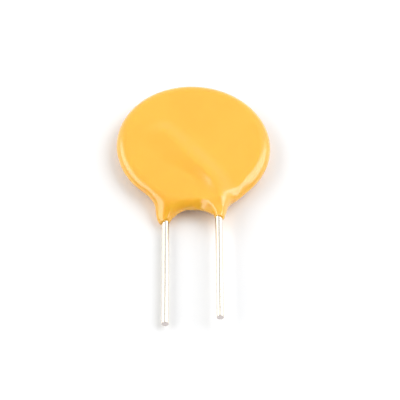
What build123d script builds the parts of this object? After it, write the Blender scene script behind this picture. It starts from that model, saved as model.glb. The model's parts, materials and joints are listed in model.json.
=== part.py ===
"""Radial-leaded resettable fuse, lying on its back face.

A round chip of conductive polymer carries a metal foil on each face. A tinned wire is soldered across
each foil, bends at the foot of the disc and leaves downwards. A dipped epoxy coating covers the disc,
rises in a soft ridge over each wire and runs a little way down each lead.

Millimetres. +Z points out of the front face, +Y away from the leads. The origin is under the middle of
the part, on the surface that it lies on.
"""

import os
from math import cos, radians, sin, tan

from build123d import *

os.makedirs("parts", exist_ok=True)

# Coated disc
disc_diameter = 16.9
rim_thickness = 1.7
rim_cover = 0.6  # coating outside the chip's edge

# Chip and its foils
chip_thickness = 0.4
foil_thickness = 0.035

# Leads
lead_diameter = 0.81
lead_pitch = 5.7
lead_pair_shift = -0.2  # middle of the pair, sideways from the disc's axis
lead_length = 12.9  # bare wire below the coating
lead_bend_radius = 11.0  # the bend starts where the coating ends
lead_bend_turn = 44.0  # degrees
lead_run = 4.6  # straight wire from the bend to the inner end

# Solder joint of each lead
solder_film = 0.04  # under the wire
solder_width = 1.7
solder_height = 0.5
solder_length = 5.0
solder_end_cover = 0.45  # past the wire's inner end
solder_taper = 20.0  # degrees

# Ridge of coating over a lead
ridge_cover = 0.3  # over the wire
ridge_width = 4.0
ridge_root = 0.05  # depth of the ridge's foot under the face
ridge_fade = 1.6  # slope past the wire's inner end

# Leg of coating down a lead
leg_reach = 1.9  # below the disc's edge
leg_root = 1.8  # above the disc's edge, inside the disc
leg_flank = 0.645  # beside the wire
leg_lip = 0.06  # left on the wire where the leg ends

# Web of coating between the legs, with an arch below it
arch_radius = 2.8
arch_drop = 0.2  # top of the arch, below the disc's edge
arch_turn = 55.0  # degrees, from its top to each leg
web_depth = 0.9  # from the arch's round lip up into the disc
web_thickness = 1.64

# Leg sections, from its end up into the disc. Shares of: the reach below the disc's edge, or of the root above
# it if negative; the half width outwards and inwards; the half rim above and below the disc's middle
leg_section_shares = (
    (0.85, 0.76, 0.70, 1.47, 0.10),
    (0.55, 0.92, 0.86, 1.56, -0.14),
    (0.30, 0.99, 0.95, 1.58, -0.38),
    (0.05, 1.06, 1.02, 1.50, -0.62),
    (-0.25, 1.22, 1.05, 1.26, -0.80),
    (-0.60, 1.45, 1.05, 0.96, -0.86),
    (-1.0, 1.80, 1.05, 0.80, -0.78),
)
leg_corner_share = 0.6  # rounding of a leg's flat side, of half its width

# Web sections, from one leg to the other. Shares of: the arch's turn; the web's depth; the lead's height and
# half the web's thickness, at the arch and then at the root inside the disc
web_section_shares = (
    (-1.0, 0.42, -0.76, 0.60, -0.60, 0.72),
    (-0.60, 0.75, -0.42, 0.86, -0.12, 0.98),
    (0.0, 1.0, 0.0, 0.98, 0.0, 0.98),
    (0.60, 0.75, 0.42, 0.86, 0.12, 0.98),
    (1.0, 0.42, 0.76, 0.60, 0.60, 0.72),
)

# Ridge sections, from past the wire's inner end, round its bend and into the leg. Shares of: the way along
# the fade, the run or the bend; half the ridge's width; the foot's height; the rise from the foot to the top
ridge_fade_shares = ((-1.0, 0.55, 0.62, -0.17), (-0.1, 0.85, 1.0, 0.55))
ridge_run_shares = ((0.25, 0.97, 1.0, 0.90), (0.8, 1.0, 1.0, 0.99))
ridge_bend_shares = (
    (0.15, 1.0, 1.0, 1.0),
    (0.40, 0.95, 1.0, 1.0),
    (0.60, 0.82, 0.95, 1.0),
    (0.74, 0.66, 0.6, 0.99),
    (0.88, 0.42, 0.55, 0.92),
    (0.97, 0.22, 0.6, 0.60),
)

# Worked out from the sizes above
disc_radius = disc_diameter / 2
half_rim = rim_thickness / 2
flat_radius = disc_radius - half_rim
chip_radius = disc_radius - rim_cover
lead_radius = lead_diameter / 2
foil_top = chip_thickness / 2 + foil_thickness
lead_height = foil_top + solder_film + lead_radius
bend_arc = lead_bend_radius * radians(lead_bend_turn)
bend_tangent = lead_bend_radius * tan(radians(lead_bend_turn) / 2)
ridge_top = lead_height + lead_radius + ridge_cover
ridge_foot = half_rim - ridge_root
leg_end = disc_radius + leg_reach
leg_half_width = lead_radius + leg_flank
disc_centre = (0, (leg_reach + lead_length) / 2, ridge_top)

# Each side is drawn on the disc's middle plane as seen from that face: x towards its own lead, y up the disc
mid_plane = Plane(disc_centre)
faces = {
    "front": mid_plane,
    "back": Plane(disc_centre, x_dir=-mid_plane.x_dir, z_dir=-mid_plane.z_dir),
}
lead_offsets = {
    "front": lead_pitch / 2 + lead_pair_shift,
    "back": lead_pitch / 2 - lead_pair_shift,
}
routes = {}
inner_pieces = []

# Chip
with BuildPart() as polymer_chip:
    with BuildSketch(mid_plane.offset(-chip_thickness / 2)):
        Circle(chip_radius)
    extrude(amount=chip_thickness)
polymer_chip.part.label = "polymer_chip"
export_step(polymer_chip.part, "parts/polymer_chip.step")
inner_pieces.append(polymer_chip.part)

for side, face in faces.items():
    # Foil electrode
    with BuildPart() as foil:
        with BuildSketch(face.offset(chip_thickness / 2)):
            Circle(chip_radius)
        extrude(amount=foil_thickness)
    foil.part.label = f"{side}_foil"
    export_step(foil.part, f"parts/{side}_foil.step")

    # Wire lead, swept from its inner end, round its bend, to its free tip
    turn = radians(lead_bend_turn)
    lead_x = lead_offsets[side]
    corner_y = bend_tangent - leg_end
    inward = bend_tangent + lead_run
    inner_end = (lead_x - inward * sin(turn), corner_y + inward * cos(turn))
    tip = (lead_x, -leg_end - lead_length)
    with BuildLine(face.offset(lead_height)) as route:
        FilletPolyline(inner_end, (lead_x, corner_y), tip, radius=lead_bend_radius)
    routes[side] = route.wire()
    with BuildPart() as lead:
        with BuildSketch(Plane(route.wire() @ 0, z_dir=route.wire() % 0)):
            Circle(lead_radius)
        sweep(path=route.wire())
    lead.part.label = f"{side}_lead"
    export_step(lead.part, f"parts/{side}_lead.step")

    # Solder joint, a sloped bead along the wire's inner run
    with BuildPart() as solder:
        with BuildSketch(face.offset(foil_top)):
            with Locations(Location(inner_end, 90 + lead_bend_turn)):
                with Locations((solder_end_cover - solder_length / 2, 0)):
                    SlotOverall(solder_length, solder_width)
        extrude(amount=solder_height, taper=solder_taper)
        add(lead.part, mode=Mode.SUBTRACT)
    solder.part.label = f"{side}_solder"
    export_step(solder.part, f"parts/{side}_solder.step")
    inner_pieces += [foil.part, lead.part, solder.part]


def ridge_stations():
    """Way along the wire from its inner end, with the width, foot and rise shares, for each ridge section."""
    spans = (
        (0, ridge_fade, ridge_fade_shares),
        (0, lead_run, ridge_run_shares),
        (lead_run, bend_arc, ridge_bend_shares),
    )
    for start, span, table in spans:
        for way_share, *section_shares in table:
            yield start + way_share * span, section_shares


def leg_stations():
    """Drop below the disc's edge, and places of the four sides about the wire, for each leg section."""
    ring = lead_radius + leg_lip
    yield leg_reach, ring, -ring, lead_height + ring, lead_height - ring
    for drop_share, out_share, in_share, top_share, bottom_share in leg_section_shares:
        drop = drop_share * (leg_reach if drop_share > 0 else leg_root)
        outer = out_share * leg_half_width
        inner = -in_share * leg_half_width
        yield drop, outer, inner, top_share * half_rim, bottom_share * half_rim


# Coating: a disc with a full round rim, a leg and a ridge for each lead and a web, less everything inside
with BuildPart() as coating:
    with BuildSketch(Plane(disc_centre, x_dir=mid_plane.x_dir, z_dir=-mid_plane.y_dir)):
        with BuildLine():
            rim = CenterArc((flat_radius, 0), half_rim, -90, 180)
            Polyline(rim @ 0, (0, -half_rim), (0, half_rim), rim @ 1)
        make_face()
    revolve(axis=Axis(disc_centre, mid_plane.z_dir))

    for side, face in faces.items():
        # Leg, lofted from a ring round the wire through sections that widen and sink into the disc. Each is
        # domed over the wire and flat on the other side
        lead_x = lead_offsets[side]
        for drop, outer, inner, top, bottom in leg_stations():
            middle = face.from_local_coords((lead_x, -disc_radius - drop, 0))
            with BuildSketch(Plane(middle, face.x_dir, -face.y_dir)):
                with BuildLine():
                    half_width = (outer - inner) / 2
                    corner = leg_corner_share * half_width
                    springing = (outer - half_width, bottom + corner)
                    dome = EllipticalCenterArc(springing, half_width, top - bottom - corner, arc_size=180)
                    near = RadiusArc(dome @ 1, (inner + corner, bottom), -corner)
                    flat = Line(near @ 1, (outer - corner, bottom))
                    RadiusArc(flat @ 1, dome @ 0, -corner)
                make_face()
        loft()

        # Ridge, lofted through bell sections across the wire
        route = routes[side]
        for way, (width_share, foot_share, rise_share) in ridge_stations():
            along = route % (max(way, 0) / route.length)
            on_wire = route @ (max(way, 0) / route.length) + along * min(way, 0)
            half_width = width_share * ridge_width / 2
            foot = foot_share * ridge_foot
            crown = ridge_foot + rise_share * (ridge_top - ridge_foot)
            section = Plane(on_wire - face.z_dir * lead_height, x_dir=along.cross(face.z_dir), z_dir=-along)
            with BuildSketch(section):
                with BuildLine():
                    level = (1, 0)
                    bell = Spline(
                        (-half_width, foot), (0, crown), (half_width, foot), tangents=(level, level, level)
                    )
                    Line(bell @ 1, bell @ 0)
                make_face()
        loft()

    # Web, lofted round the arch from the back lead's leg to the front lead's
    arch_centre = mid_plane.from_local_coords((lead_pair_shift, -disc_radius - arch_drop - arch_radius, 0))
    for turn_share, depth_share, lip_rise_share, lip_share, root_rise_share, root_share in web_section_shares:
        heading = radians(turn_share * arch_turn)
        outwards = Vector(sin(heading), cos(heading))
        lip = lip_share * web_thickness / 2
        root = root_share * web_thickness / 2
        with BuildSketch(Plane(arch_centre, x_dir=outwards, z_dir=outwards.cross(mid_plane.z_dir))):
            with Locations((arch_radius + lip, lip_rise_share * lead_height)):
                Circle(lip)
            with Locations((arch_radius + lip + depth_share * web_depth, root_rise_share * lead_height)):
                Circle(root)
            make_hull()
    loft()

    for piece in inner_pieces:
        add(piece, mode=Mode.SUBTRACT)
coating.part.label = "coating"
export_step(coating.part, "parts/coating.step")
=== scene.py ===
"""Looks of a radial-leaded resettable fuse: dipped epoxy coating, tinned leads and what the coating holds.

Shapes are worked out in millimetres about the disc's centre, with x to the front lead's side, y away from the
leads and z out of the front face, and are put into the frame in metres.
"""

import json
import logging
from dataclasses import dataclass, field, replace
from enum import Enum
from math import cos, pi, radians, sin, tan
from typing import Any, Mapping, Sequence

import bpy
import numpy as np
from mathutils import Matrix, Vector

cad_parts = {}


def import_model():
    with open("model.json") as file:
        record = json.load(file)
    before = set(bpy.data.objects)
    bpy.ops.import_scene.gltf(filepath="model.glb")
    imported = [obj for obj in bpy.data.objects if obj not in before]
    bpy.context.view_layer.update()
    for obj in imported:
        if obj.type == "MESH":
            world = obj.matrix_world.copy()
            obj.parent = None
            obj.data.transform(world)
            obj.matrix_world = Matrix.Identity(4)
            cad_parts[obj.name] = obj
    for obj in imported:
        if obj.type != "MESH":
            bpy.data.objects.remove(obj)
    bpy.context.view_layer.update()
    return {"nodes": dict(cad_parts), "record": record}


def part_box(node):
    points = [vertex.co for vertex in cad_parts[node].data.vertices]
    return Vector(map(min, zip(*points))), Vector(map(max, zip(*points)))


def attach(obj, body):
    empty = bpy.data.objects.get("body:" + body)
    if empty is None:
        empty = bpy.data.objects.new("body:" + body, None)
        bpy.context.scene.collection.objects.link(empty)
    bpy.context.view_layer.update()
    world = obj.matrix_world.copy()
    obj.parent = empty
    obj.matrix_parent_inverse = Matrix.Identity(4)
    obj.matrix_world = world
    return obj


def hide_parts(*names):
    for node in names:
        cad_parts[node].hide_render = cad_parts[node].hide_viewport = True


log = logging.getLogger("resettable_fuse")

MM = 0.001
BODY = "root"
NOISE_MIDDLE = 0.5
NEAR_ZERO = 1e-9

# Numbers of a Mix node's sockets for colours, whose names it also gives to its sockets for numbers and vectors
MIX_SHARE = 0
MIX_COLOURS = (6, 7)
MIX_RESULT = 2

Array = np.ndarray
Colour = tuple[float, float, float]
Span = tuple[float, float]


class Side(Enum):
    """Face of the disc that a lead lies on, with the sign of its height."""

    FRONT = 1
    BACK = -1

    @property
    def label(self) -> str:
        """Word that the side's pieces start with."""
        return self.name.lower()

    @property
    def other(self) -> "Side":
        """The opposite face."""
        return Side(-self.value)


def put(name: str, data: bpy.types.ID) -> bpy.types.Object:
    """Add an object to the scene, at the origin.

    Args:
        name: The object's name.
        data: Its mesh, lamp or camera.

    Returns:
        The object.
    """
    item = bpy.data.objects.new(name, data)
    bpy.context.scene.collection.objects.link(item)
    return item


def dress(piece: bpy.types.Object, material: bpy.types.Material) -> None:
    """Give a piece one material in place of any that it has."""
    piece.data.materials.clear()
    piece.data.materials.append(material)


def stand_for(piece: bpy.types.Object, node: str) -> None:
    """Let a new piece stand for a node of the frame, on its body, and hide the node.

    Args:
        piece: The new piece.
        node: The node's name.
    """
    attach(piece, BODY)
    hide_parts(node)


# Shader maths


class Sock:
    """An output socket that takes part in Python expressions on values."""

    def __init__(self, sheet: "NodeSheet", socket: bpy.types.NodeSocket) -> None:
        """Wrap one socket of a sheet.

        Args:
            sheet: The sheet of nodes that the socket is on.
            socket: The socket itself.
        """
        self.sheet = sheet
        self.socket = socket

    def _math(self, operation: str, first: Any, second: Any) -> "Sock":
        """Add a Math node for one operation on two values."""
        return self.sheet.node("ShaderNodeMath", {"operation": operation}, {0: first, 1: second})

    def __add__(self, other: Any) -> "Sock":
        """Sum."""
        return self._math("ADD", self, other)

    def __radd__(self, other: Any) -> "Sock":
        """Sum, with the number first."""
        return self._math("ADD", other, self)

    def __sub__(self, other: Any) -> "Sock":
        """Difference."""
        return self._math("SUBTRACT", self, other)

    def __rsub__(self, other: Any) -> "Sock":
        """Difference, with the number first."""
        return self._math("SUBTRACT", other, self)

    def __mul__(self, other: Any) -> "Sock":
        """Product."""
        return self._math("MULTIPLY", self, other)

    def __rmul__(self, other: Any) -> "Sock":
        """Product, with the number first."""
        return self._math("MULTIPLY", other, self)

    def __abs__(self) -> "Sock":
        """Size without the sign."""
        return self._math("ABSOLUTE", self, 0.0)


@dataclass(frozen=True)
class Pattern:
    """A smooth noise: waves to a millimetre, its layers and their strength, and the levels drawn out to 0 and 1."""

    scale: float
    detail: float = 2.0
    roughness: float = 0.5
    levels: Span | None = None


class NodeSheet:
    """The shader nodes of one material or world, with short ways to add to them."""

    def __init__(self, owner: bpy.types.Material | bpy.types.World) -> None:
        """Turn on the nodes of their owner.

        Args:
            owner: The material or world.
        """
        owner.use_nodes = True
        self.nodes = owner.node_tree.nodes
        self.links = owner.node_tree.links

    def node(self, kind: str, settings: Mapping[str, Any], values: Mapping[Any, Any], out: Any = 0) -> Sock:
        """Add a node.

        Args:
            kind: The node's type.
            settings: Properties of the node, set before its sockets.
            values: Numbers, colours or sockets for its inputs, by name or index.
            out: The output to give back, by name or index.

        Returns:
            The output, ready for an expression.
        """
        node = self.nodes.new(kind)
        for key, value in settings.items():
            setattr(node, key, value)
        for key, value in values.items():
            self.feed(node.inputs[key], value)
        return Sock(self, node.outputs[out])

    def feed(self, socket: bpy.types.NodeSocket, value: Any) -> None:
        """Link a socket to a wrapped one, or set its number or colour.

        Args:
            socket: The input.
            value: A wrapped output, a number or a colour.
        """
        if isinstance(value, Sock):
            self.links.new(value.socket, socket)
        else:
            socket.default_value = value

    def place(self, stretch: Sequence[float] = (1.0, 1.0, 1.0)) -> Sock:
        """Object coordinates in millimetres, times the pattern's stretch along each axis."""
        source = self.node("ShaderNodeTexCoord", {}, {}, "Object")
        return self.node("ShaderNodeMapping", {}, {"Vector": source, "Scale": [s / MM for s in stretch]})

    def noise(self, place: Sock, pattern: Pattern) -> Sock:
        """Smooth noise from 0 to 1, about its middle, or drawn out between the pattern's levels.

        Args:
            place: The coordinates to read.
            pattern: The noise.

        Returns:
            Its value.
        """
        values = {"Vector": place, "Scale": pattern.scale, "Detail": pattern.detail, "Roughness": pattern.roughness}
        value = self.node("ShaderNodeTexNoise", {}, values, "Fac")
        return self.span(value, pattern.levels) if pattern.levels else value

    def span(self, value: Sock, source: Span, goal: Span = (0.0, 1.0)) -> Sock:
        """Carry a value from one range to another, held at its ends with a smooth step between.

        Args:
            value: The value.
            source: Where the step starts and ends.
            goal: The values before the step and after it.

        Returns:
            The value in the other range.
        """
        ends = zip(("From Min", "From Max", "To Min", "To Max"), (*source, *goal))
        values = {"Value": value, **dict(ends)}
        return self.node("ShaderNodeMapRange", {"interpolation_type": "SMOOTHSTEP"}, values, "Result")

    def blend(self, share: Sock, first: Any, second: Any) -> Sock:
        """Colour between two others.

        Args:
            share: How much of the second colour there is.
            first: A colour or a socket.
            second: A colour or a socket.

        Returns:
            The mixed colour.
        """
        values = (c if isinstance(c, Sock) else (*c, 1.0) for c in (first, second))
        inputs = {MIX_SHARE: share, **dict(zip(MIX_COLOURS, values))}
        return self.node("ShaderNodeMix", {"data_type": "RGBA"}, inputs, MIX_RESULT)

    def bump(self, height: Sock, strength: float, depth_mm: float) -> Sock:
        """Normal that leans as a height in shares of a depth does."""
        values = {"Height": height, "Strength": strength, "Distance": depth_mm * MM}
        return self.node("ShaderNodeBump", {}, values, "Normal")


class MaterialSheet(NodeSheet):
    """The nodes of a new material, round its Principled shader."""

    def __init__(self, name: str) -> None:
        """Start the material.

        Args:
            name: The material's name.
        """
        self.material = bpy.data.materials.new(name)
        super().__init__(self.material)
        self.shader = self.nodes["Principled BSDF"]

    def set(self, **values: Any) -> bpy.types.Material:
        """Set the Principled shader's inputs and give the material back.

        Args:
            values: Inputs by name, with underscores for spaces.

        Returns:
            The finished material.
        """
        for key, value in values.items():
            self.feed(self.shader.inputs[key.replace("_", " ")], value)
        return self.material


# Finishes


@dataclass(frozen=True)
class EpoxyFinish:
    """Dipped amber epoxy: glossy, faintly mottled, with a shallow orange-peel."""

    amber: Colour = (0.975, 0.470, 0.005)
    honey: Colour = (0.985, 0.495, 0.011)
    speck: Colour = (0.80, 0.33, 0.015)
    speck_share: float = 0.35
    roughness: float = 0.30
    haze: float = 0.10
    ior: float = 1.55
    varnish: float = 0.9
    varnish_roughness: float = 0.17
    varnish_ior: float = 1.65
    glow: float = 0.3
    glow_depth_mm: float = 0.7
    glow_spread: Colour = (1.0, 0.45, 0.12)
    peel_strength: float = 0.25
    peel_depth_mm: float = 0.02
    peel_grain: float = 0.06
    clouds: Pattern = Pattern(scale=0.22, detail=3.0, levels=(0.3, 0.7))
    grains: Pattern = Pattern(scale=7.0)
    peels: Pattern = Pattern(scale=1.1, roughness=0.4)
    specks: Pattern = Pattern(scale=4.5, detail=1.0, levels=(0.76, 0.82))

    def material(self) -> bpy.types.Material:
        """Build the finish: a slow noise mottles the colour, specks darken it, and finer noises haze and peel it.

        Returns:
            The material.
        """
        sheet = MaterialSheet("epoxy_coating")
        place = sheet.place()
        patterns = (self.clouds, self.grains, self.peels, self.specks)
        cloud, grain, peel, speck = (sheet.noise(place, pattern) for pattern in patterns)
        tone = sheet.blend(cloud, self.amber, self.honey)
        return sheet.set(
            Base_Color=sheet.blend(speck * self.speck_share, tone, self.speck),
            Roughness=self.roughness + self.haze * (grain - NOISE_MIDDLE) * cloud,
            IOR=self.ior,
            Subsurface_Weight=self.glow,
            Subsurface_Radius=self.glow_spread,
            Subsurface_Scale=self.glow_depth_mm * MM,
            Coat_Weight=self.varnish,
            Coat_Roughness=self.varnish_roughness,
            Coat_IOR=self.varnish_ior,
            Normal=sheet.bump(peel + grain * self.peel_grain, self.peel_strength, self.peel_depth_mm),
        )


@dataclass(frozen=True)
class TinnedWireFinish:
    """Tin plating on drawn copper wire: bright, streaked along the wire, with copper bare at a cut end."""

    tin: Colour = (0.955, 0.905, 0.80)
    warm_tin: Colour = (0.93, 0.865, 0.75)
    copper: Colour = (0.66, 0.60, 0.585)
    roughness: float = 0.13
    streak_haze: float = 0.06
    dull_haze: float = 0.03
    streak_strength: float = 0.05
    streak_depth_mm: float = 0.006
    streak_stretch: tuple[float, float, float] = (9.0, 0.25, 9.0)
    streaks: Pattern = Pattern(scale=1.0, detail=3.0)
    dulls: Pattern = Pattern(scale=1.6, levels=(0.35, 0.75))
    cut_roughness: float = 0.42
    cut_levels: Span = (0.35, 0.75)
    cut_attribute: str = "cut_face"

    def material(self) -> bpy.types.Material:
        """Build the finish: noise drawn out along the wire streaks it, and the cut attribute lays copper bare.

        Returns:
            The material.
        """
        sheet = MaterialSheet("tinned_wire")
        streak = sheet.noise(sheet.place(self.streak_stretch), self.streaks)
        dull = sheet.noise(sheet.place(), self.dulls)
        cut = sheet.node("ShaderNodeAttribute", {"attribute_name": self.cut_attribute}, {}, "Fac")
        core = sheet.span(cut, self.cut_levels)
        plating = sheet.blend(streak * dull, self.tin, self.warm_tin)
        haze = self.streak_haze * (streak - NOISE_MIDDLE)
        bare = self.cut_roughness - self.roughness
        return sheet.set(
            Base_Color=sheet.blend(core, plating, self.copper),
            Metallic=1.0,
            Roughness=self.roughness + haze + self.dull_haze * dull + bare * core,
            Normal=sheet.bump(streak, self.streak_strength, self.streak_depth_mm),
        )


@dataclass(frozen=True)
class PlatedFoilFinish:
    """Nickel-plated foil with the fine nodules of a plated face."""

    nickel: Colour = (0.62, 0.58, 0.52)
    shade: Colour = (0.48, 0.44, 0.39)
    roughness: float = 0.34
    haze: float = 0.16
    nodule_strength: float = 0.3
    nodule_depth_mm: float = 0.01
    nodules: Pattern = Pattern(scale=14.0, detail=3.0)
    stains: Pattern = Pattern(scale=0.5, levels=(0.35, 0.7))

    def material(self) -> bpy.types.Material:
        """Build the finish: a slow noise stains the plating and a fine one roughens it.

        Returns:
            The material.
        """
        sheet = MaterialSheet("plated_foil")
        place = sheet.place()
        nodule = sheet.noise(place, self.nodules)
        return sheet.set(
            Base_Color=sheet.blend(sheet.noise(place, self.stains), self.nickel, self.shade),
            Metallic=1.0,
            Roughness=self.roughness + self.haze * nodule,
            Normal=sheet.bump(nodule, self.nodule_strength, self.nodule_depth_mm),
        )


@dataclass(frozen=True)
class SolderFinish:
    """Reflowed solder: silver grey, with a frosted skin."""

    bright: Colour = (0.63, 0.63, 0.64)
    frosted: Colour = (0.50, 0.50, 0.51)
    roughness: float = 0.22
    haze: float = 0.22
    ripple_strength: float = 0.3
    ripple_depth_mm: float = 0.015
    frosts: Pattern = Pattern(scale=2.2, detail=4.0, levels=(0.4, 0.65))
    ripples: Pattern = Pattern(scale=5.0)

    def material(self) -> bpy.types.Material:
        """Build the finish: one noise frosts the colour and the gloss together, and another ripples the skin.

        Returns:
            The material.
        """
        sheet = MaterialSheet("solder")
        place = sheet.place()
        frost = sheet.noise(place, self.frosts)
        return sheet.set(
            Base_Color=sheet.blend(frost, self.bright, self.frosted),
            Metallic=1.0,
            Roughness=self.roughness + self.haze * frost,
            Normal=sheet.bump(sheet.noise(place, self.ripples), self.ripple_strength, self.ripple_depth_mm),
        )


@dataclass(frozen=True)
class ConductivePolymerFinish:
    """Carbon-filled polymer: near black and matt, with the grain of a pressed sheet."""

    carbon: Colour = (0.010, 0.010, 0.011)
    grey: Colour = (0.030, 0.029, 0.028)
    roughness: float = 0.55
    haze: float = 0.2
    grain_strength: float = 0.3
    grain_depth_mm: float = 0.01
    grains: Pattern = Pattern(scale=6.0, detail=4.0)

    def material(self) -> bpy.types.Material:
        """Build the finish: fine noise greys the black and roughens it.

        Returns:
            The material.
        """
        sheet = MaterialSheet("conductive_polymer")
        grain = sheet.noise(sheet.place(), self.grains)
        return sheet.set(
            Base_Color=sheet.blend(grain, self.carbon, self.grey),
            Roughness=self.roughness + self.haze * grain,
            Normal=sheet.bump(grain, self.grain_strength, self.grain_depth_mm),
        )


@dataclass(frozen=True)
class TableFinish:
    """White matt table under the part."""

    white: Colour = (0.935, 0.94, 0.945)
    shade: Colour = (0.92, 0.925, 0.935)
    roughness: float = 0.9
    haze: float = 0.1
    clouds: Pattern = Pattern(scale=0.05)
    lift: float = 0.06
    lift_tint: Colour = (0.93, 0.97, 1.10)

    def material(self) -> bpy.types.Material:
        """Build the finish: a slow noise keeps the white from being flat, and a share of cool white is seen.

        Returns:
            The material.
        """
        sheet = MaterialSheet("white_table")
        cloud = sheet.noise(sheet.place(), self.clouds)
        paper = sheet.set(
            Base_Color=sheet.blend(cloud, self.white, self.shade),
            Roughness=self.roughness + self.haze * cloud,
            Specular_IOR_Level=0.0,
        )
        matt = Sock(sheet, sheet.shader.outputs["BSDF"])
        plain = sheet.node("ShaderNodeEmission", {}, {"Color": (*self.lift_tint, 1.0), "Strength": 1.0})
        looks = ("Is Camera Ray", "Is Glossy Ray", "Is Transmission Ray")
        direct, mirrored, through = (sheet.node("ShaderNodeLightPath", {}, {}, look) for look in looks)
        seen = (direct + mirrored + through) * self.lift
        surface = sheet.node("ShaderNodeMixShader", {}, {0: seen, 1: matt, 2: plain})
        sheet.feed(sheet.nodes["Material Output"].inputs["Surface"], surface)
        return paper


# Mesh helpers


def ease(value: Array) -> Array:
    """Smooth step from 0 to 1, level at both ends: three times the held value's square less twice its cube."""
    held = np.clip(value, 0.0, 1.0)
    return held * held * (3.0 - 2.0 * held)


def raised_cosine(value: Array) -> Array:
    """Bell that is 1 at 0 and falls to 0 at 1 by half a cosine wave."""
    return 0.5 + 0.5 * np.cos(np.pi * np.clip(value, 0.0, 1.0))


def meniscus(value: Array) -> Array:
    """Flank that is 1 at 0, steepest there, and runs out level to 0 at 1.

    It is one, less five thirds of the held value, plus two thirds of its power of 2.5.

    Args:
        value: Shares of the flank's width.

    Returns:
        Shares of its height.
    """
    held = np.clip(value, 0.0, 1.0)
    return 1.0 - (5.0 * held - 2.0 * held**2.5) / 3.0


def ring_faces(rings: int, count: int) -> Array:
    """Quads between neighbouring closed rings of points.

    Args:
        rings: Number of rings, one after the other.
        count: Points in each ring.

    Returns:
        Four point numbers for each quad.
    """
    ring, point = np.meshgrid(np.arange(rings - 1), np.arange(count), indexing="ij")
    here = ring * count + point
    beside = ring * count + (point + 1) % count
    return np.stack([here, beside, beside + count, here + count], axis=-1).reshape(-1, 4)


def cap_faces(pole: int, ring_start: int, count: int, turned: bool) -> Array:
    """Triangles from a pole to one closed ring.

    Args:
        pole: The pole's point number.
        ring_start: The number of the ring's first point.
        count: Points in the ring.
        turned: Whether the triangles run against the ring.

    Returns:
        Three point numbers for each triangle.
    """
    here = ring_start + np.arange(count)
    beside = ring_start + (np.arange(count) + 1) % count
    order = (beside, here) if turned else (here, beside)
    return np.stack([np.full(count, pole), *order], axis=-1)


def closed_mesh(name: str, start: Array, grid: Array, end: Array, origin: Array) -> bpy.types.Object:
    """Smooth closed object from rings of points between two poles.

    Args:
        name: The object's name.
        start: First pole, in millimetres from the origin.
        grid: Points by ring, then round the ring.
        end: Last pole.
        origin: Place of the millimetre origin in the frame, in millimetres.

    Returns:
        The object, at the frame's origin with its place in its mesh.
    """
    rings, count, _ = grid.shape
    points = np.concatenate([grid.reshape(-1, 3), start[None], end[None]])
    last = rings * count
    triangles = np.concatenate([
        cap_faces(last, 0, count, turned=True),
        cap_faces(last + 1, (rings - 1) * count, count, turned=False),
    ])
    faces = ring_faces(rings, count).tolist() + triangles.tolist()
    mesh = bpy.data.meshes.new(name)
    mesh.from_pydata(((points + origin) * MM).tolist(), [], faces)
    mesh.polygons.foreach_set("use_smooth", np.ones(len(mesh.polygons), dtype=bool))
    mesh.update()
    return put(name, mesh)


def periodic_spline(points: Array, weights: Array, count: int) -> Array:
    """Closed cubic spline through points, whose slope and bend run on unbroken at each of them.

    The knots are the chord lengths in plan. The second derivatives solve the usual cyclic system, and each span
    is the cubic that its end points and second derivatives give.

    Args:
        points: Points to pass through, in order round the loop.
        weights: How close the samples are along the span after each point, by comparison with 1.
        count: Number of samples.

    Returns:
        The samples, in order.
    """
    n = len(points)
    after = np.roll(points, -1, axis=0)
    chord = np.linalg.norm((after - points)[:, :2], axis=1)
    before = np.roll(chord, 1)
    slope = (after - points) / chord[:, None]
    system = np.zeros((n, n))
    rows = np.arange(n)
    system[rows, rows] = 2.0 * (before + chord)
    system[rows, (rows - 1) % n] += before
    system[rows, (rows + 1) % n] += chord
    bend = np.linalg.solve(system, 6.0 * (slope - np.roll(slope, 1, axis=0)))
    bend_after = np.roll(bend, -1, axis=0)

    reach = np.concatenate([[0.0], np.cumsum(chord * weights)])
    ways = np.linspace(0.0, reach[-1], count, endpoint=False)
    span = np.clip(np.searchsorted(reach, ways, side="right") - 1, 0, n - 1)
    share = ((ways - reach[span]) / (reach[span + 1] - reach[span]))[:, None]
    length = chord[span][:, None]
    rest = 1.0 - share
    straight = rest * points[span] + share * after[span]
    curve = ((rest**3 - rest) * bend[span] + (share**3 - share) * bend_after[span]) * length**2 / 6.0
    return straight + curve


# The part


@dataclass(frozen=True)
class Layout:
    """Main places of the part, read from the frame, in millimetres from the disc's centre.

    The crest is the height of a ridge's top, and the lead height that of the front wire's middle. The leg's end
    and the lead's tip are places up the disc.
    """

    centre: Array
    disc_radius: float
    crest: float
    lead_radius: float
    lead_height: float
    lead_x: Mapping[Side, float]
    leg_end: float
    lead_tip: float

    @classmethod
    def from_frame(cls, record: Mapping[str, Any]) -> "Layout":
        """Read the places from the coating's box and the leads' mounts.

        Args:
            record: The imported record.

        Returns:
            The layout.
        """
        low, high = (np.array(corner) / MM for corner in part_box("coating"))
        radius = (high[0] - low[0]) / 2
        centre = np.array([(low[0] + high[0]) / 2, high[1] - radius, (low[2] + high[2]) / 2])
        pins = {side: next(m for m in record["mounts"] if m["name"] == f"{side.label}_lead_pin") for side in Side}
        places = {side: np.array(pin["pos_m"]) / MM - centre for side, pin in pins.items()}
        front = pins[Side.FRONT]["dims"]
        half_wire = front["length_mm"] / 2
        return cls(
            centre=centre,
            disc_radius=radius,
            crest=(high[2] - low[2]) / 2,
            lead_radius=front["r_mm"],
            lead_height=places[Side.FRONT][2],
            lead_x={side: place[0] for side, place in places.items()},
            leg_end=places[Side.FRONT][1] + half_wire,
            lead_tip=places[Side.FRONT][1] - half_wire,
        )

    @property
    def lead_middle(self) -> float:
        """Place sideways of the middle between the leads."""
        return sum(self.lead_x.values()) / len(self.lead_x)


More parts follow.
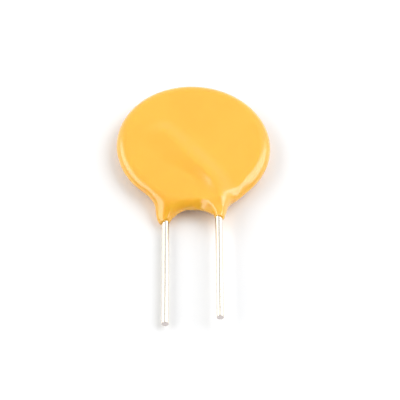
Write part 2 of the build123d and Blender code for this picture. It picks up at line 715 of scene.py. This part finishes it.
@dataclass(frozen=True)
class WireRoute:
    """Line of a lead: a straight run on the disc, a bend that ends where the coating does, then straight down.

    The bend's rise is how far above the coating's end it stops instead.
    """

    layout: Layout
    side: Side
    bend_radius: float = 11.0
    bend_turn: float = radians(44.0)
    bend_rise: float = 0.0
    run: float = 4.6
    bend_steps: int = 40

    def eased(self, radius: float, turn: float) -> "WireRoute":
        """Line with the same corner and reach, and another bend.

        Args:
            radius: The bend's radius.
            turn: The bend's turn.

        Returns:
            The line, whose bend starts higher by the bends' difference in tangent length.
        """
        spare = self.bend_radius * tan(self.bend_turn / 2) - radius * tan(turn / 2)
        rise, run = self.bend_rise + spare, self.run + spare
        return replace(self, bend_radius=radius, bend_turn=turn, bend_rise=rise, run=run)

    @property
    def bend_centre(self) -> Array:
        """Centre of the bend, level with its lower end, on the disc's side of the lead."""
        across = self.layout.lead_x[self.side] - self.side.value * self.bend_radius
        return np.array([across, self.layout.leg_end + self.bend_rise])

    @property
    def heading(self) -> Array:
        """Direction of the straight run, from the bend to the wire's inner end."""
        return np.array([-self.side.value * sin(self.bend_turn), cos(self.bend_turn)])

    @property
    def bend_top(self) -> Array:
        """Point where the bend meets the straight run."""
        spoke = np.array([self.side.value * cos(self.bend_turn), sin(self.bend_turn)])
        return self.bend_centre + self.bend_radius * spoke

    def away(self, x: Array, y: Array) -> tuple[Array, Array, Array]:
        """Distance from the wire's line in plan, the side of it, and share of the straight run.

        The run's distance is to the nearest point of a segment, and the bend's is to the nearest point of an arc.
        The side is the distance across the run, or the distance from the bend's centre less its radius, as a share
        of the distance, so it swings smoothly round the inner end.

        Args:
            x: Places sideways.
            y: Places up the disc.

        Returns:
            The distances, shares that are 0 inside the bend and 1 outside it, and shares that are 0 at the inner
            end and 1 from the bend on.
        """
        to_run = np.stack([x - self.bend_top[0], y - self.bend_top[1]], axis=-1)
        along = np.clip(to_run @ self.heading, 0.0, self.run)
        from_run = np.linalg.norm(to_run - along[..., None] * self.heading, axis=-1)
        out = self.side.value * (x - self.bend_centre[0])
        up = y - self.bend_centre[1]
        turn = np.clip(np.arctan2(up, out), 0.0, self.bend_turn)
        from_bend = np.hypot(out - self.bend_radius * np.cos(turn), up - self.bend_radius * np.sin(turn))
        across = to_run @ ((self.bend_top - self.bend_centre) / self.bend_radius)
        beyond = np.hypot(out, up) - self.bend_radius
        away = np.minimum(from_run, from_bend)
        aside = np.where(from_run < from_bend, across, beyond) / np.maximum(away, NEAR_ZERO)
        return away, 0.5 + 0.5 * np.clip(aside, -1.0, 1.0), 1.0 - along / self.run

    def points(self) -> Array:
        """Points of the line in plan: the inner end, the bend by equal turns, and the tip.

        Returns:
            The points.
        """
        inner = self.bend_top + self.run * self.heading
        turns = np.linspace(self.bend_turn, 0.0, self.bend_steps)
        spokes = np.stack([self.side.value * np.cos(turns), np.sin(turns)], axis=-1)
        tip = np.array([self.layout.lead_x[self.side], self.layout.lead_tip])
        return np.concatenate([inner[None], self.bend_centre + self.bend_radius * spokes, tip[None]])


@dataclass(frozen=True)
class Coating:
    """The dipped skin: a round-edged disc with a soft ridge over each wire, drawn down into a leg on each lead."""

    layout: Layout
    finish: EpoxyFinish = EpoxyFinish()

    # Disc: half its thickness, and how far inside the edge the rim starts to round
    half_rim: float = 0.85
    rim_inset: float = 1.25

    # Ridge: the bend of its line, the rounding of its crest, and the width of its flank inside the bend and
    # outside it, on the run and then round the bend, with the place up the disc where one width starts to give
    # way to the other and over how far
    ridge_bend: float = 5.0
    ridge_turn: float = radians(41.0)
    ridge_round: float = 0.3
    ridge_inside: Span = (2.5, 1.45)
    ridge_outside: Span = (2.3, 2.1)
    ridge_narrow_start: float = -2.0
    ridge_narrow_way: float = 3.0
    # Share of its rise at the wire's inner end, and share of the run in which the rise grows full
    ridge_inner_share: float = 0.8
    ridge_growth: float = 0.55

    # Web: width of the ridge's inside flank at the disc's foot, with shares of the disc's radius below its centre
    # where it starts and over which it grows full
    web_width: float = 2.8
    web_start: float = 0.62
    web_way: float = 0.32

    # Leg: the place up the disc where it starts, half its thickness at its end, the share of the ridge's outside
    # flank that is lost down it, and how fast the ridge sinks into it
    leg_start: float = -7.3
    leg_half_depth: float = 0.56
    leg_narrowing: float = 0.35
    leg_sink: float = 1.3

    # Swing of the legs to their wires: the share of half the pitch where it is full, how far outside a lead it
    # starts to die away and over how far
    lean_reach: float = 0.8
    lean_start: float = 0.4
    lean_fall: float = 2.4

    # Neck, where the skin sinks beside a leg: the drop, the place up the disc where it starts and over how far,
    # the same from inside the disc's edge outwards, and the same outwards from the lead
    neck_drop: float = 0.36
    neck_top: float = -5.0
    neck_rise: float = 1.0
    neck_inside: float = 0.85
    neck_fall: float = 1.0
    neck_start: float = 0.2
    neck_spread: float = 2.0
    # Share of the neck's drop beside each lead, on the lead's own face and on the other
    neck_shares: Mapping[Side, Span] = field(default_factory=lambda: {
        Side.FRONT: (1.0, 1.0), Side.BACK: (0.3, 0.0),
    })

    # Arch between the legs: its arc, how far in the round edge starts at its top and at the legs, and its bevel
    arch_radius: float = 2.8
    arch_drop: float = 0.2
    arch_turn: float = radians(55.0)
    arch_inset: float = 1.05
    arch_leg_inset: float = 0.45
    arch_bevel: float = 0.5
    bevel_power: float = 1.5

    # Outer edge of each leg, from the disc down to its lip: out from the wire and below the disc's edge, then
    # how far in and up from there the round edge starts, then how far it is bevelled on the front
    outer_edges: Mapping[Side, Sequence[tuple[float, ...]]] = field(default_factory=lambda: {
        Side.FRONT: (
            (2.70, -1.78, 0.40, 0.44, 0.0), (2.02, -1.12, 0.24, 0.33, 0.0), (1.42, -0.64, 0.26, 0.32, 0.0),
            (1.10, -0.12, 0.36, 0.28, 0.0), (0.95, 0.42, 0.50, 0.26, 0.0), (0.83, 0.95, 0.55, 0.26, 0.0),
            (0.66, 1.55, 0.46, 0.30, 0.0), (0.47, 2.02, 0.40, 0.28, 0.0),
        ),
        Side.BACK: (
            (1.95, -1.58, 0.80, 0.55, 0.0), (1.44, -0.90, 1.14, 0.46, 0.0), (1.20, -0.45, 1.34, 0.36, 0.06),
            (1.09, 0.05, 1.40, 0.24, 0.16), (1.04, 0.55, 1.27, 0.22, 0.20), (0.95, 1.05, 1.07, 0.26, 0.16),
            (0.81, 1.43, 0.84, 0.30, 0.06), (0.50, 1.78, 0.44, 0.28, 0.0),
        ),
    })
    # End of each leg below the disc's edge, and the lip on the arch's side
    end_drops: Mapping[Side, float] = field(default_factory=lambda: {Side.FRONT: 2.0, Side.BACK: 1.72})
    end_inset: float = 0.30
    lip_slant: float = 0.24
    lip_inset: float = 0.39

    # Fineness of the grid
    rim_points: int = 26
    arch_points: int = 9
    outline_samples: int = 560
    face_rings: int = 46
    edge_rings: int = 34
    leg_closeness: float = 3.2

    def outline(self) -> tuple[Array, Array, Array]:
        """Edge of the coating seen from the front, and the line inside it where the round edge starts.

        The rim is a circle, the arch is an arc and the legs' outer edges are listed points. One closed spline
        runs through them all, in the order front lead's leg, arch, back lead's leg, rim.

        Returns:
            The edge's samples, the inner line's samples that go with them, and how far the edge between them is
            bevelled, on the front where it is above 0 and on the back where it is below.
        """
        radius = self.layout.disc_radius
        legs = {side: self._leg_rows(side) for side in Side}
        arch = self._arch_rows()
        first, last = legs[Side.BACK][0, :2], legs[Side.FRONT][0, :2]
        begin = np.arctan2(first[1], first[0]) % (2 * np.pi)
        stop = np.arctan2(last[1], last[0])
        turns = np.linspace(begin, stop, self.rim_points + 2)[1:-1]
        spokes = np.stack([np.cos(turns), np.sin(turns)], axis=-1)
        rim = np.concatenate([radius * spokes, (radius - self.rim_inset) * spokes, 0.0 * spokes[:, :1]], axis=-1)
        rows = np.concatenate([legs[Side.FRONT], arch, legs[Side.BACK][::-1], rim])
        on_legs = len(rows) - len(rim)
        weights = np.where(np.arange(len(rows)) < on_legs, self.leg_closeness, 1.0)
        samples = periodic_spline(rows, weights, self.outline_samples)
        return samples[:, :2], samples[:, 2:4], samples[:, 4]

    def _leg_rows(self, side: Side) -> Array:
        """Outer edge and end of one leg.

        Args:
            side: The lead's side.

        Returns:
            Rows of the edge's x and y, the inner line's x and y, and the bevel.
        """
        out, down, inwards, up, bevel = np.array(self.outer_edges[side]).T
        lead_x = self.layout.lead_x[side]
        foot = -self.layout.disc_radius
        x = lead_x + side.value * out
        y = foot - down
        flank = np.stack([x, y, x - side.value * inwards, y + up, bevel], axis=-1)
        end = foot - self.end_drops[side]
        return np.concatenate([flank, [[lead_x, end, lead_x, end + self.end_inset, 0.0]]])

    def _arch_rows(self) -> Array:
        """Arch between the legs, from the front lead's to the back lead's, with the legs' inner lips.

        The arch is an arc by equal turns. The inner line is further in by an inset that narrows with the square
        of the turn, and the bevel follows a sine wave from leg to leg.

        Returns:
            Rows like a leg's.
        """
        layout = self.layout
        turns = np.linspace(self.arch_turn, -self.arch_turn, self.arch_points)
        spokes = np.stack([np.sin(turns), np.cos(turns)], axis=-1)
        middle = np.array([layout.lead_middle, -layout.disc_radius - self.arch_drop - self.arch_radius])
        narrowing = (self.arch_inset - self.arch_leg_inset) * (turns / self.arch_turn) ** 2
        deep = self.arch_radius + self.arch_inset - narrowing
        bevel = self.arch_bevel * np.sin(np.pi * turns / self.arch_turn)
        arc = np.concatenate(
            [middle + self.arch_radius * spokes, middle + deep[:, None] * spokes, bevel[:, None]], axis=-1
        )
        lips = {side: self._inner_lip(side) for side in Side}
        return np.concatenate([lips[Side.FRONT], arc, lips[Side.BACK]])

    def _inner_lip(self, side: Side) -> Array:
        """Corner of a leg's end on the arch's side, as far from the wire as on the outer side.

        Args:
            side: The lead's side.

        Returns:
            One row like a leg's.
        """
        out, down, _, up, _ = self.outer_edges[side][-1]
        x = self.layout.lead_x[side] - side.value * out
        y = -self.layout.disc_radius - down + self.lip_slant
        return np.array([[x, y, x + side.value * self.lip_inset, y + up, 0.0]])

    def heights(self, x: Array, y: Array) -> dict[Side, Array]:
        """Height of the front and back skins over a place.

        The skins lie half a rim above and below the middle. Down the legs a smooth step swings the middle to each
        wire's height, and the skins close in with the square of that swing. Each skin rises in a ridge over its
        own wire and sinks at the necks beside the legs.

        Args:
            x: Places sideways.
            y: Places up the disc.

        Returns:
            The height of each side's skin.
        """
        layout = self.layout
        down = ease((self.leg_start - y) / (self.leg_start - layout.leg_end))
        lean = self._lean(x)
        middle = layout.lead_height * lean * down
        depth = self.half_rim - (self.half_rim - self.leg_half_depth) * (down * lean) ** 2
        necks = self._necks(x, y)
        skins = {}
        for side in Side:
            own_share, _ = self.neck_shares[side]
            _, other_share = self.neck_shares[side.other]
            neck = own_share * necks[side] + other_share * necks[side.other]
            skins[side] = middle + side.value * (depth + self._ridge(side, x, y, down) - neck)
        return skins

    def _lean(self, x: Array) -> Array:
        """Swing of the skins' middle, from -1 at the back lead to 1 at the front lead.

        A quarter of a sine wave on each side of the middle carries it out to the leads, and outside them a smooth
        step brings it back to 0.

        Args:
            x: Places sideways.

        Returns:
            The swing.
        """
        layout = self.layout
        half_pitch = (layout.lead_x[Side.FRONT] - layout.lead_x[Side.BACK]) / 2
        aside = x - layout.lead_middle
        swing = np.sin(np.pi / 2 * np.clip(aside / (self.lean_reach * half_pitch), -1.0, 1.0))
        return swing * (1.0 - ease((np.abs(aside) - half_pitch - self.lean_start) / self.lean_fall))

    def _necks(self, x: Array, y: Array) -> dict[Side, Array]:
        """Drop of the skin beside each leg: one depth times smooth steps past the rim, down the disc and outwards.

        Args:
            x: Places sideways.
            y: Places up the disc.

        Returns:
            The drop beside each side's lead.
        """
        past_rim = ease((np.hypot(x, y) - self.layout.disc_radius + self.neck_inside) / self.neck_fall)
        drop = self.neck_drop * past_rim * ease((self.neck_top - y) / self.neck_rise)
        outs = {side: side.value * (x - lead_x) for side, lead_x in self.layout.lead_x.items()}
        return {side: drop * ease((out - self.neck_start) / self.neck_spread) for side, out in outs.items()}

    def _ridge(self, side: Side, x: Array, y: Array, down: Array) -> Array:
        """Rise of a skin over its own wire.

        By the distance from the wire's line, the flank is a meniscus inside the bend and a raised cosine outside
        it. Its width changes by smooth steps from the run to the bend and into the web between the legs. The rise
        grows along the run from the wire's inner end, and is lost down the leg.

        Args:
            side: The wire's side.
            x: Places sideways.
            y: Places up the disc.
            down: Shares of the way down a leg.

        Returns:
            The rise.
        """
        layout = self.layout
        line = WireRoute(layout, side).eased(self.ridge_bend, self.ridge_turn)
        away, outside, along = line.away(x, y)
        bend = ease((self.ridge_narrow_start - y) / self.ridge_narrow_way)
        web = ease((-self.web_start * layout.disc_radius - y) / (self.web_way * layout.disc_radius))
        near_width, far_width = (
            run + (round_bend - run) * bend for run, round_bend in (self.ridge_inside, self.ridge_outside)
        )
        near_width = near_width + (self.web_width - near_width) * web
        near = meniscus((np.hypot(away, self.ridge_round) - self.ridge_round) / near_width)
        far = raised_cosine(away / (far_width * (1.0 - self.leg_narrowing * down)))
        bell = near + outside * (far - near)
        rise = (layout.crest - self.half_rim) * np.clip(1.0 - self.leg_sink * down, 0.0, 1.0)
        grown = self.ridge_inner_share + (1.0 - self.ridge_inner_share) * ease(along / self.ridge_growth)
        return rise * grown * bell

    def build(self) -> bpy.types.Object:
        """Build the skin as a closed grid of rings, from the front's middle, over the edge, to the back's.

        On a face, a ring is the inner line drawn in towards the disc's centre by a share. Over the edge, a ring
        lies between the inner line and the edge by the sine of a half turn, and between the two skins by its
        cosine. A bevel trades the sine for a power of one less the cosine.

        Returns:
            The coating.
        """
        edge, core, bevel = self.outline()
        shares = np.sqrt(np.linspace(0.0, 1.0, self.face_rings + 1)[1:])
        turns = np.linspace(0.0, np.pi, self.edge_rings + 2)[1:-1]
        face = shares[:, None, None] * core
        round_share = np.sin(turns)[:, None]
        slant_share = (1.0 - np.abs(np.cos(turns)))[:, None] ** self.bevel_power
        slanted = np.clip(bevel * np.sign(np.cos(turns))[:, None], 0.0, 1.0)
        over = core + (round_share + slanted * (slant_share - round_share))[..., None] * (edge - core)
        plan = np.concatenate([face, over, face[::-1]])
        skins = self.heights(plan[..., 0], plan[..., 1])
        lean = np.concatenate([np.ones(len(face)), np.cos(turns), -np.ones(len(face))])[:, None]
        front, back = skins[Side.FRONT], skins[Side.BACK]
        z = (front + back) / 2 + lean * (front - back) / 2
        grid = np.concatenate([plan, z[..., None]], axis=-1)
        middle = self.heights(np.zeros(1), np.zeros(1))
        start, end = (np.array([0.0, 0.0, middle[side][0]]) for side in Side)
        return closed_mesh("epoxy_skin", start, grid, end, self.layout.centre)

    def make(self) -> list[bpy.types.Object]:
        """Build the skin, dress it and let it stand for the coating.

        Returns:
            The one piece.
        """
        skin = self.build()
        dress(skin, self.finish.material())
        stand_for(skin, "coating")
        return [skin]


@dataclass(frozen=True)
class Lead:
    """One tinned wire, with its free end cut square by a shear."""

    layout: Layout
    side: Side
    round_points: int = 48
    straight_steps: int = 24
    edge_round: float = 0.07
    cut_lean: float = 0.05
    # Rings at the cut end, from the full wire to the cut face's middle: shares of the wire's radius, shares of the
    # edge's rounding that they stay back by, and how far they are on the cut face
    end_rings: Sequence[tuple[float, float, float]] = (
        (1.0, 1.0, 0.0), (0.985, 0.45, 0.0), (0.93, 0.12, 0.4),
        (0.84, 0.0, 1.0), (0.55, 0.0, 1.0), (0.25, 0.0, 1.0),
    )

    def build(self, cut_attribute: str) -> bpy.types.Object:
        """Carry a circle along the wire's route, rounding in at the free end, and mark the cut face.

        Each ring is the route's point plus the wire's radius times the cosine along the sideways normal and the
        sine along the height. The last rings shrink to the cut face, which leans a little.

        Args:
            cut_attribute: Name of the attribute that is 1 on the cut face.

        Returns:
            The lead.
        """
        layout = self.layout
        route = WireRoute(layout, self.side).points()
        straight = np.linspace(route[-2], route[-1], self.straight_steps + 1)[1:-1]
        shrink, stay_back, on_cut = np.array(self.end_rings).T
        full = np.zeros(len(route) - 1 + len(straight))
        plan = np.concatenate([route[:-1], straight, np.repeat(route[-1:], len(shrink), axis=0)])
        radius = layout.lead_radius * np.concatenate([full + 1.0, shrink])
        back = self.edge_round * np.concatenate([full, stay_back])
        marks = np.concatenate([full, on_cut])

        along = np.gradient(plan[: len(full) + 1], axis=0)
        along = np.concatenate([along, np.repeat([[0.0, -1.0]], len(shrink) - 1, axis=0)])
        along /= np.linalg.norm(along, axis=1, keepdims=True)
        across = np.stack([-along[:, 1], along[:, 0]], axis=-1)
        turns = np.linspace(0.0, 2 * np.pi, self.round_points, endpoint=False)
        plan = plan - back[:, None] * along
        wide = radius[:, None] * np.cos(turns)
        high = radius[:, None] * np.sin(turns)
        flat = plan[:, None, :] + wide[..., None] * across[:, None, :]
        lean = self.cut_lean * (1.0 + high / layout.lead_radius) / 2
        flat[..., 1] += (marks > 0)[:, None] * lean
        z = self.side.value * layout.lead_height + high
        grid = np.concatenate([flat, z[..., None]], axis=-1)[::-1]
        tip, inner = grid[0].mean(axis=0), grid[-1].mean(axis=0)
        piece = closed_mesh(f"{self.side.label}_wire", tip, grid, inner, layout.centre)
        cut = np.concatenate([np.repeat(marks[::-1], self.round_points), [1.0, 0.0]])
        attribute = piece.data.attributes.new(cut_attribute, "FLOAT", "POINT")
        attribute.data.foreach_set("value", cut.astype(np.float32))
        return piece


@dataclass(frozen=True)
class LeadPair:
    """The two leads, in one finish."""

    layout: Layout
    finish: TinnedWireFinish = TinnedWireFinish()

    def make(self) -> list[bpy.types.Object]:
        """Build both wires, dress them and let them stand for the leads.

        Returns:
            The front and the back wire.
        """
        material = self.finish.material()
        wires = {side: Lead(self.layout, side).build(self.finish.cut_attribute) for side in Side}
        for side, wire in wires.items():
            dress(wire, material)
            stand_for(wire, f"{side.label}_lead")
        return list(wires.values())


@dataclass(frozen=True)
class Core:
    """What the coating holds, which keeps its solids: the chip, its foils and the solder joints."""

    nodes: Mapping[str, bpy.types.Object]
    polymer: ConductivePolymerFinish = ConductivePolymerFinish()
    foil: PlatedFoilFinish = PlatedFoilFinish()
    solder: SolderFinish = SolderFinish()

    def make(self) -> list[bpy.types.Object]:
        """Dress the solids, those of a kind in one material.

        Returns:
            The solids.
        """
        kinds = {
            ("polymer_chip",): self.polymer,
            ("front_foil", "back_foil"): self.foil,
            ("front_solder", "back_solder"): self.solder,
        }
        for names, finish in kinds.items():
            material = finish.material()
            for name in names:
                dress(self.nodes[name], material)
        return [self.nodes[name] for names in kinds for name in names]


# The stage


def direction(azimuth_deg: float, elevation_deg: float) -> Vector:
    """Unit vector from the part outwards: -y turned towards x by the azimuth, then raised by the elevation."""
    turn, rise = radians(azimuth_deg), radians(elevation_deg)
    return Vector((sin(turn) * cos(rise), -cos(turn) * cos(rise), sin(rise)))


@dataclass(frozen=True)
class SoftBox:
    """A long panel of even light that faces the part, whose power is its level times pi times its area."""

    name: str
    azimuth_deg: float
    elevation_deg: float
    width_m: float
    height_m: float
    level: float
    tint: Colour = (1.0, 1.0, 1.0)
    distance_m: float = 0.28

    def place(self, target: Vector) -> None:
        """Hang the panel round the target, level along its width.

        Args:
            target: The point that it faces.
        """
        away = direction(self.azimuth_deg, self.elevation_deg)
        lamp = bpy.data.lights.new(self.name, "AREA")
        lamp.shape = "RECTANGLE"
        lamp.size = self.width_m
        lamp.size_y = self.height_m
        lamp.color = self.tint
        lamp.energy = self.level * pi * self.width_m * self.height_m
        panel = put(self.name, lamp)
        panel.location = target + away * self.distance_m
        panel.rotation_euler = away.to_track_quat("Z", "Y").to_euler()


@dataclass(frozen=True)
class Studio:
    """White table, soft light and the camera of the photograph."""

    table_half_m: float = 0.6
    table_steps: int = 8

    # Surroundings: the level at the front and the back, what the sides add and what the left takes away, and the
    # parts of a direction between which each changes
    front_level: float = 0.25
    back_level: float = 0.74
    side_level: float = 0.34
    left_gap: float = 0.05
    depth_span: Span = (-0.4, 0.45)
    side_span: Span = (0.4, 0.8)
    left_span: Span = (-0.4, -0.12)
    boxes: Sequence[SoftBox] = (
        SoftBox(
            "left_box", azimuth_deg=-88.0, elevation_deg=38.0, width_m=0.46, height_m=0.15, level=2.08,
            tint=(1.0, 0.985, 0.94),
        ),
        SoftBox("right_box", azimuth_deg=100.0, elevation_deg=48.0, width_m=0.30, height_m=0.22, level=2.43),
    )

    camera_azimuth_deg: float = -3.134
    camera_elevation_deg: float = 52.386
    camera_roll_deg: float = 3.496
    camera_distance_m: float = 0.25
    camera_clip_m: float = 0.01
    focal_pixels: float = 2315.2
    image_pixels: float = 400.0
    sensor_mm: float = 36.0
    target_mm: tuple[float, float, float] = (0.665, -7.399, 0.0)

    def table(self) -> bpy.types.Object:
        """Lay the table under the part, as a square grid whose height is 0 all over.

        Returns:
            The table.
        """
        count = self.table_steps + 1
        ticks = np.linspace(-self.table_half_m, self.table_half_m, count)
        x, y = np.meshgrid(ticks, ticks)
        points = np.stack([x, y, np.zeros_like(x)], axis=-1).reshape(-1, 3)
        row, column = np.meshgrid(np.arange(self.table_steps), np.arange(self.table_steps), indexing="ij")
        corner = row * count + column
        faces = np.stack([corner, corner + 1, corner + count + 1, corner + count], axis=-1).reshape(-1, 4)
        mesh = bpy.data.meshes.new("table")
        mesh.from_pydata(points.tolist(), [], faces.tolist())
        mesh.materials.append(TableFinish().material())
        floor = put("table", mesh)
        return floor

    def light(self, target: Vector) -> None:
        """Set the white surroundings, and hang the panels.

        The surroundings' level is a sum of smooth steps of the direction's parts: from the front to the back, up
        to both sides, and a little down on the left.

        Args:
            target: The point that the panels face.
        """
        world = bpy.data.worlds.new("white_tent")
        sheet = NodeSheet(world)
        heading = sheet.node("ShaderNodeTexCoord", {}, {}, "Generated")
        across, back = (sheet.node("ShaderNodeSeparateXYZ", {}, {0: heading}, axis) for axis in "XY")
        depth = sheet.span(back, self.depth_span, (self.front_level, self.back_level))
        sides = sheet.span(abs(across), self.side_span, (0.0, self.side_level))
        gap = sheet.span(across, self.left_span, (-self.left_gap, 0.0))
        background = sheet.nodes["Background"].inputs
        sheet.feed(background["Strength"], depth + (sides + gap))
        sheet.feed(background["Color"], (1.0, 1.0, 1.0, 1.0))
        bpy.context.scene.world = world
        for box in self.boxes:
            box.place(target)

    def camera(self, layout: Layout) -> None:
        """Place the camera that was fitted to the photograph's outline.

        Args:
            layout: The part's places, for the target.
        """
        turn, roll = radians(self.camera_azimuth_deg), radians(self.camera_roll_deg)
        back = direction(self.camera_azimuth_deg, self.camera_elevation_deg)
        right = Vector((cos(turn), sin(turn), 0.0))
        up = back.cross(right)
        right, up = cos(roll) * right + sin(roll) * up, cos(roll) * up - sin(roll) * right
        lens = bpy.data.cameras.new("camera")
        lens.sensor_width = self.sensor_mm
        lens.lens = self.focal_pixels * self.sensor_mm / self.image_pixels
        lens.clip_start = self.camera_clip_m
        view = put("camera", lens)
        target = Vector((layout.centre + np.array(self.target_mm)) * MM)
        pose = Matrix((right, up, back)).transposed().to_4x4()
        pose.translation = target + back * self.camera_distance_m
        view.matrix_world = pose
        bpy.context.scene.camera = view


def main() -> None:
    """Build and dress the part's pieces, report each of them, and set the stage."""
    logging.basicConfig(level=logging.INFO, format="%(name)s: %(message)s")
    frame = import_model()
    layout = Layout.from_frame(frame["record"])

    for assembly in (Coating(layout), LeadPair(layout), Core(frame["nodes"])):
        for piece in assembly.make():
            look = piece.data.materials[0].name
            log.info("%s: %d faces, dressed as %s", piece.name, len(piece.data.polygons), look)

    studio = Studio()
    studio.table()
    studio.light(Vector(layout.centre * MM))
    studio.camera(layout)
    bpy.context.scene.view_settings.view_transform = "Standard"


if __name__ == "__main__":
    main()
